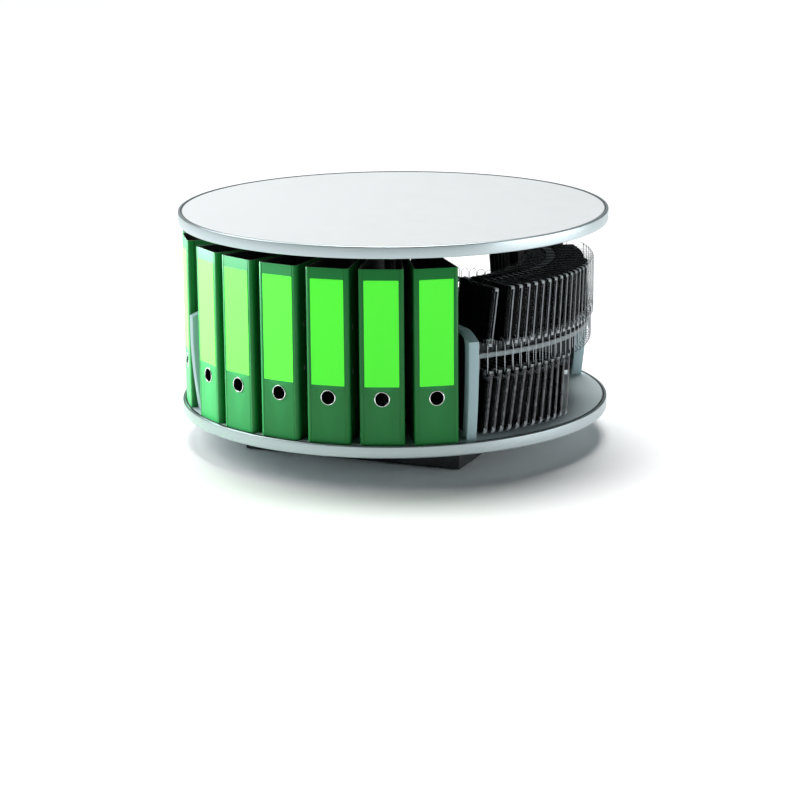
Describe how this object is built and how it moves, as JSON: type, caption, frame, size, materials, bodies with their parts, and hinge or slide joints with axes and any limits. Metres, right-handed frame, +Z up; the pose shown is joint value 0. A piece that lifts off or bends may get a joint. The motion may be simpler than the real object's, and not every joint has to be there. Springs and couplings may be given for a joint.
{
  "type": "rotary filing cabinet",
  "caption": "Tabletop rotary filing carousel: two round panels on a turntable foot, quarter dividers, lever-arch files and racks of black disc pockets.",
  "frame": {"origin": "on the table under the turning axis, centre of the square foot's underside", "axes": "+Z up along the turning axis; X and Y along the sides of the square foot; files in the quarters towards -Y and -X, disc pockets towards +X, open bay towards +Y"},
  "size_m": [0.8099, 0.81, 0.44],
  "materials": {
    "black_board": "black laminate, satin",
    "pad_rubber": "matte",
    "race_steel": "zinc plated",
    "screw_steel": "zinc plated",
    "ball_steel": "polished",
    "cage_plastic": "moulded",
    "shelf_board": "grey melamine, fine texture",
    "top_board": "pale grey melamine, satin",
    "edge_metal": "satin silver edging",
    "column_paint": "black gloss powder coat",
    "divider_plastic": "grey moulded, satin",
    "rail_metal": "satin",
    "bracket_plastic": "moulded",
    "loop_wire": "bright wire",
    "pocket_plastic": "black, moulded",
    "file_cover": "green film laminated board, glossy spine",
    "file_label": "blank light green label",
    "ring_metal": "bright finger ring and eyelets",
    "arch_steel": "nickel plated"
  },
  "bodies": {
    "base": {"base_plate": "black_board", "foot_pads": "pad_rubber", "lower_race": "race_steel", "lower_race_screws": "screw_steel"},
    "ball_ring": {"bearing_balls": "ball_steel", "ball_cage": "cage_plastic"},
    "carousel": {"upper_race": "race_steel", "upper_race_screws": "screw_steel", "bottom_panel": "shelf_board", "bottom_edge_band": "edge_metal", "top_panel": "top_board", "top_edge_band": "edge_metal", "column_tube": "column_paint", "column_foot_flange": "column_paint", "column_head_flange": "column_paint", "flange_screws": "screw_steel", "divider_front_right": "divider_plastic", "divider_back_right": "divider_plastic", "divider_back_left": "divider_plastic", "divider_front_left": "divider_plastic", "divider_screws": "screw_steel", "rail_outer": "rail_metal", "rail_inner": "rail_metal", "rail_brackets": "bracket_plastic", "hanger_loops": "loop_wire", "upper_pockets_rest": "pocket_plastic", "lower_pockets_rest": "pocket_plastic", "rear_pockets_rest": "pocket_plastic"},
    "file_1": {"file_1_cover": "file_cover", "file_1_lever_arch": "arch_steel"},
    "file_2": {"file_2_cover": "file_cover", "file_2_lever_arch": "arch_steel"},
    "file_3": {"file_3_cover": "file_cover", "file_3_lever_arch": "arch_steel"},
    "file_4": {"file_4_cover": "file_cover", "file_4_lever_arch": "arch_steel"},
    "file_5": {"file_5_cover": "file_cover", "file_5_lever_arch": "arch_steel"},
    "file_6": {"file_6_cover": "file_cover", "file_6_lever_arch": "arch_steel"},
    "file_7": {"file_7_cover": "file_cover", "file_7_lever_arch": "arch_steel"},
    "file_8": {"file_8_cover": "file_cover", "file_8_lever_arch": "arch_steel"},
    "file_9": {"file_9_cover": "file_cover", "file_9_lever_arch": "arch_steel"},
    "file_10": {"file_10_cover": "file_cover", "file_10_lever_arch": "arch_steel"},
    "file_11": {"file_11_cover": "file_cover", "file_11_lever_arch": "arch_steel"},
    "file_12": {"file_12_cover": "file_cover", "file_12_lever_arch": "arch_steel"},
    "upper_pocket_1": {"upper_pocket_1": "pocket_plastic"},
    "upper_pocket_2": {"upper_pocket_2": "pocket_plastic"},
    "upper_pocket_3": {"upper_pocket_3": "pocket_plastic"},
    "rear_pocket_1": {"rear_pocket_1": "pocket_plastic"},
    "rear_pocket_2": {"rear_pocket_2": "pocket_plastic"},
    "lower_pocket_12": {"lower_pocket_12": "pocket_plastic"},
    "lower_pocket_11": {"lower_pocket_11": "pocket_plastic"},
    "lower_pocket_10": {"lower_pocket_10": "pocket_plastic"}
  },
  "joints": [
    {"name": "carousel_spin", "type": "hinge", "parent": "base", "child": "carousel", "pos_m": [0, 0, 0.051], "axis": [0, 0, 1], "continuous": true},
    {"name": "ball_ring_spin", "type": "hinge", "parent": "base", "child": "ball_ring", "pos_m": [0, 0, 0.051], "axis": [0, 0, 1], "continuous": true},
    {"name": "file_1_pull", "type": "slide", "parent": "carousel", "child": "file_1", "axis": [-0.6053, -0.796, 0], "range_m": [0, 0.3]},
    {"name": "file_2_pull", "type": "slide", "parent": "carousel", "child": "file_2", "axis": [-0.3931, -0.9195, 0], "range_m": [0, 0.3]},
    {"name": "file_3_pull", "type": "slide", "parent": "carousel", "child": "file_3", "axis": [-0.1573, -0.9876, 0], "range_m": [0, 0.3]},
    {"name": "file_4_pull", "type": "slide", "parent": "carousel", "child": "file_4", "axis": [0.088, -0.9961, 0], "range_m": [0, 0.3]},
    {"name": "file_5_pull", "type": "slide", "parent": "carousel", "child": "file_5", "axis": [0.328, -0.9447, 0], "range_m": [0, 0.3]},
    {"name": "file_6_pull", "type": "slide", "parent": "carousel", "child": "file_6", "axis": [0.5483, -0.8363, 0], "range_m": [0, 0.3]},
    {"name": "file_7_pull", "type": "slide", "parent": "carousel", "child": "file_7", "axis": [-0.8363, -0.5483, 0], "range_m": [0, 0.3]},
    {"name": "file_8_pull", "type": "slide", "parent": "carousel", "child": "file_8", "axis": [-0.9447, -0.328, 0], "range_m": [0, 0.3]},
    {"name": "file_9_pull", "type": "slide", "parent": "carousel", "child": "file_9", "axis": [-0.9961, -0.088, 0], "range_m": [0, 0.3]},
    {"name": "file_10_pull", "type": "slide", "parent": "carousel", "child": "file_10", "axis": [-0.9876, 0.1573, 0], "range_m": [0, 0.3]},
    {"name": "file_11_pull", "type": "slide", "parent": "carousel", "child": "file_11", "axis": [-0.9195, 0.3931, 0], "range_m": [0, 0.3]},
    {"name": "file_12_pull", "type": "slide", "parent": "carousel", "child": "file_12", "axis": [-0.796, 0.6053, 0], "range_m": [0, 0.3]},
    {"name": "upper_pocket_1_tilt", "type": "hinge", "parent": "carousel", "child": "upper_pocket_1", "pos_m": [0.23801, -0.20328, 0.252], "axis": [0.7604, -0.6494, 0], "range_deg": [0, 28]},
    {"name": "upper_pocket_2_tilt", "type": "hinge", "parent": "carousel", "child": "upper_pocket_2", "pos_m": [0.25671, -0.17908, 0.252], "axis": [0.8202, -0.5721, 0], "range_deg": [0, 16.8]},
    {"name": "upper_pocket_3_tilt", "type": "hinge", "parent": "carousel", "child": "upper_pocket_3", "pos_m": [0.26515, -0.16633, 0.252], "axis": [0.8471, -0.5314, 0], "range_deg": [0, 8.4]},
    {"name": "rear_pocket_1_tilt", "type": "hinge", "parent": "carousel", "child": "rear_pocket_1", "pos_m": [0.15031, 0.27455, 0.252], "axis": [-0.4802, -0.8771, 0], "range_deg": [0, 42]},
    {"name": "rear_pocket_2_tilt", "type": "hinge", "parent": "carousel", "child": "rear_pocket_2", "pos_m": [0.16354, 0.26688, 0.252], "axis": [-0.5225, -0.8526, 0], "range_deg": [0, 21]},
    {"name": "lower_pocket_12_tilt", "type": "hinge", "parent": "carousel", "child": "lower_pocket_12", "pos_m": [0.30852, -0.05274, 0.19], "axis": [0.9857, -0.1685, 0], "range_deg": [0, 22]},
    {"name": "lower_pocket_11_tilt", "type": "hinge", "parent": "carousel", "child": "lower_pocket_11", "pos_m": [0.30558, -0.06775, 0.19], "axis": [0.9763, -0.2164, 0], "range_deg": [0, 14.3]},
    {"name": "lower_pocket_10_tilt", "type": "hinge", "parent": "carousel", "child": "lower_pocket_10", "pos_m": [0.30191, -0.08259, 0.19], "axis": [0.9646, -0.2639, 0], "range_deg": [0, 6.6]}
  ],
  "couplings": [
    {"joint": "ball_ring_spin", "follows": "carousel_spin", "ratio": 0.5},
    {"joint": "upper_pocket_2_tilt", "follows": "upper_pocket_1_tilt", "ratio": 0.6},
    {"joint": "upper_pocket_3_tilt", "follows": "upper_pocket_1_tilt", "ratio": 0.3},
    {"joint": "rear_pocket_2_tilt", "follows": "rear_pocket_1_tilt", "ratio": 0.5},
    {"joint": "lower_pocket_11_tilt", "follows": "lower_pocket_12_tilt", "ratio": 0.65},
    {"joint": "lower_pocket_10_tilt", "follows": "lower_pocket_12_tilt", "ratio": 0.3}
  ]
}
